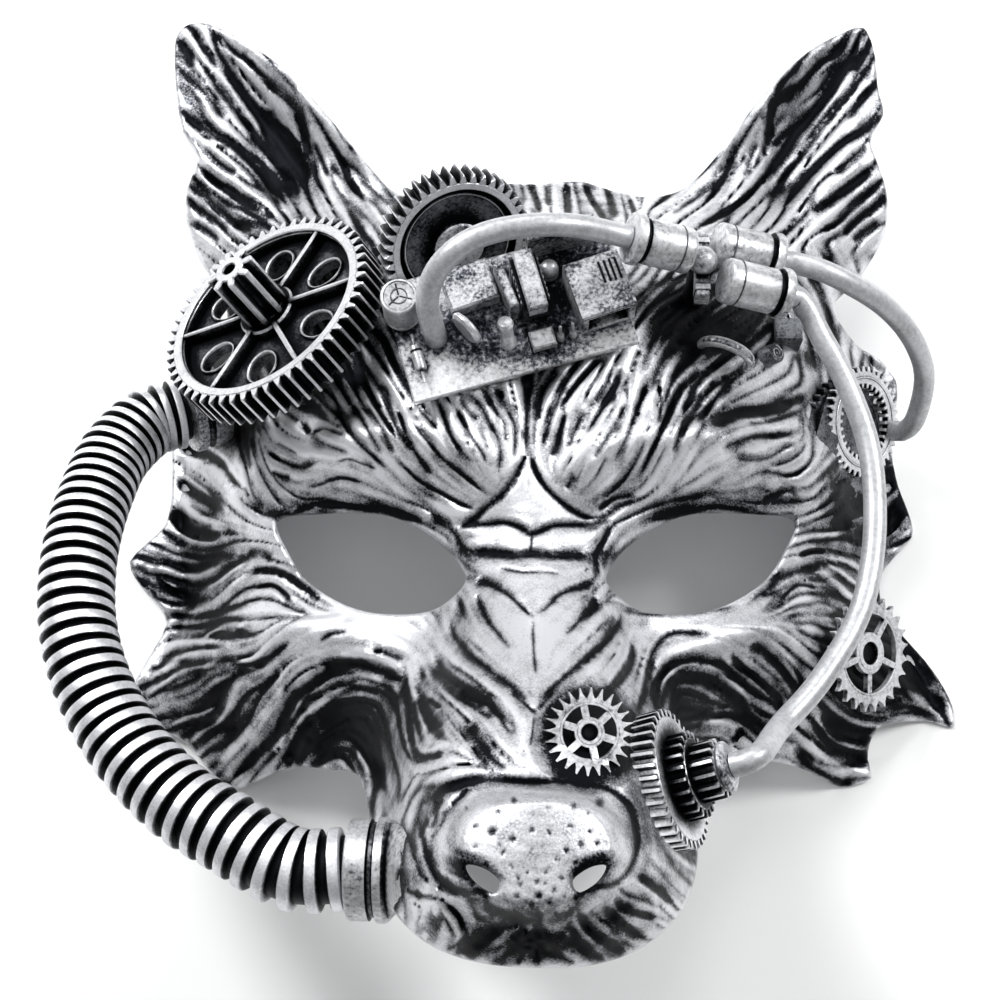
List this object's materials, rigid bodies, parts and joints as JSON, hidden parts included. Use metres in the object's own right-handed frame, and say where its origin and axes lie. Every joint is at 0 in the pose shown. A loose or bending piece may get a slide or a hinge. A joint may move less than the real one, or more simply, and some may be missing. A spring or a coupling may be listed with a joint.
{
  "type": "wolf half mask",
  "caption": "Wolf half mask moulded in an antique silver finish, with eye openings, clock wheels, a small circuit board, a tube joint and a ribbed hose.",
  "frame": {"origin": "on the floor, under the middle of the mask's bounding box", "axes": "+Z is the way the face looks as it lies on its rim, +Y points to the ears, +X to the viewer's right"},
  "size_m": [0.2342, 0.2562, 0.1282],
  "materials": {
    "axial_diode": "pale silver paint, satin",
    "back_plate": "pale silver paint, satin",
    "capacitor_can": "pale silver paint, satin",
    "cheek_wheel": "antique silver paint with dark wash in the grooves",
    "chip_block": "pale silver paint, satin",
    "circuit_board": "pale silver paint, satin",
    "coil_block": "antique silver paint with dark wash in the grooves",
    "coil_wall": "antique silver paint with dark wash in the grooves",
    "crown_wheel": "antique silver paint with dark wash in the grooves",
    "disc_capacitor": "antique silver paint with dark wash in the grooves",
    "dome_button": "pale silver paint, satin",
    "half_ring": "pale silver paint, satin",
    "hose_collar": "pale silver paint, satin",
    "hose_socket": "antique silver paint with dark wash in the grooves",
    "inner_tube": "pale silver paint, satin",
    "jack_shell": "antique silver paint with dark wash in the grooves",
    "joint_yoke": "antique silver paint with dark wash in the grooves",
    "large_wheel": "antique silver paint with dark wash in the grooves",
    "left_barrel": "pale silver paint, satin",
    "link_tube": "pale silver paint, satin",
    "low_plate": "pale silver paint, satin",
    "lower_barrel": "pale silver paint, satin",
    "mask_shell": "antique silver paint with dark wash in the grooves",
    "muzzle_wheel": "antique silver paint with dark wash in the grooves",
    "outer_tube": "pale silver paint, satin",
    "pin_left": "pale silver paint, satin",
    "pin_right": "pale silver paint, satin",
    "ribbed_hose": "antique silver paint with dark wash in the grooves",
    "round_screw": "antique silver paint with dark wash in the grooves",
    "square_plate": "pale silver paint, satin",
    "stack_washer": "pale silver paint, satin",
    "standing_resistor": "pale silver paint, satin",
    "temple_back_wheel": "antique silver paint with dark wash in the grooves",
    "temple_ring": "antique silver paint with dark wash in the grooves",
    "upper_barrel": "pale silver paint, satin",
    "wheel_stack": "antique silver paint with dark wash in the grooves"
  },
  "bodies": {
    "root": {"axial_diode": "axial_diode", "back_plate": "back_plate", "capacitor_can": "capacitor_can", "cheek_wheel": "cheek_wheel", "chip_block": "chip_block", "circuit_board": "circuit_board", "coil_block": "coil_block", "coil_wall": "coil_wall", "crown_wheel": "crown_wheel", "disc_capacitor": "disc_capacitor", "dome_button": "dome_button", "half_ring": "half_ring", "hose_collar": "hose_collar", "hose_socket": "hose_socket", "inner_tube": "inner_tube", "jack_shell": "jack_shell", "joint_yoke": "joint_yoke", "large_wheel": "large_wheel", "left_barrel": "left_barrel", "link_tube": "link_tube", "low_plate": "low_plate", "lower_barrel": "lower_barrel", "mask_shell": "mask_shell", "muzzle_wheel": "muzzle_wheel", "outer_tube": "outer_tube", "pin_left": "pin_left", "pin_right": "pin_right", "ribbed_hose": "ribbed_hose", "round_screw": "round_screw", "square_plate": "square_plate", "stack_washer": "stack_washer", "standing_resistor": "standing_resistor", "temple_back_wheel": "temple_back_wheel", "temple_ring": "temple_ring", "upper_barrel": "upper_barrel", "wheel_stack": "wheel_stack"}
  },
  "joints": []
}
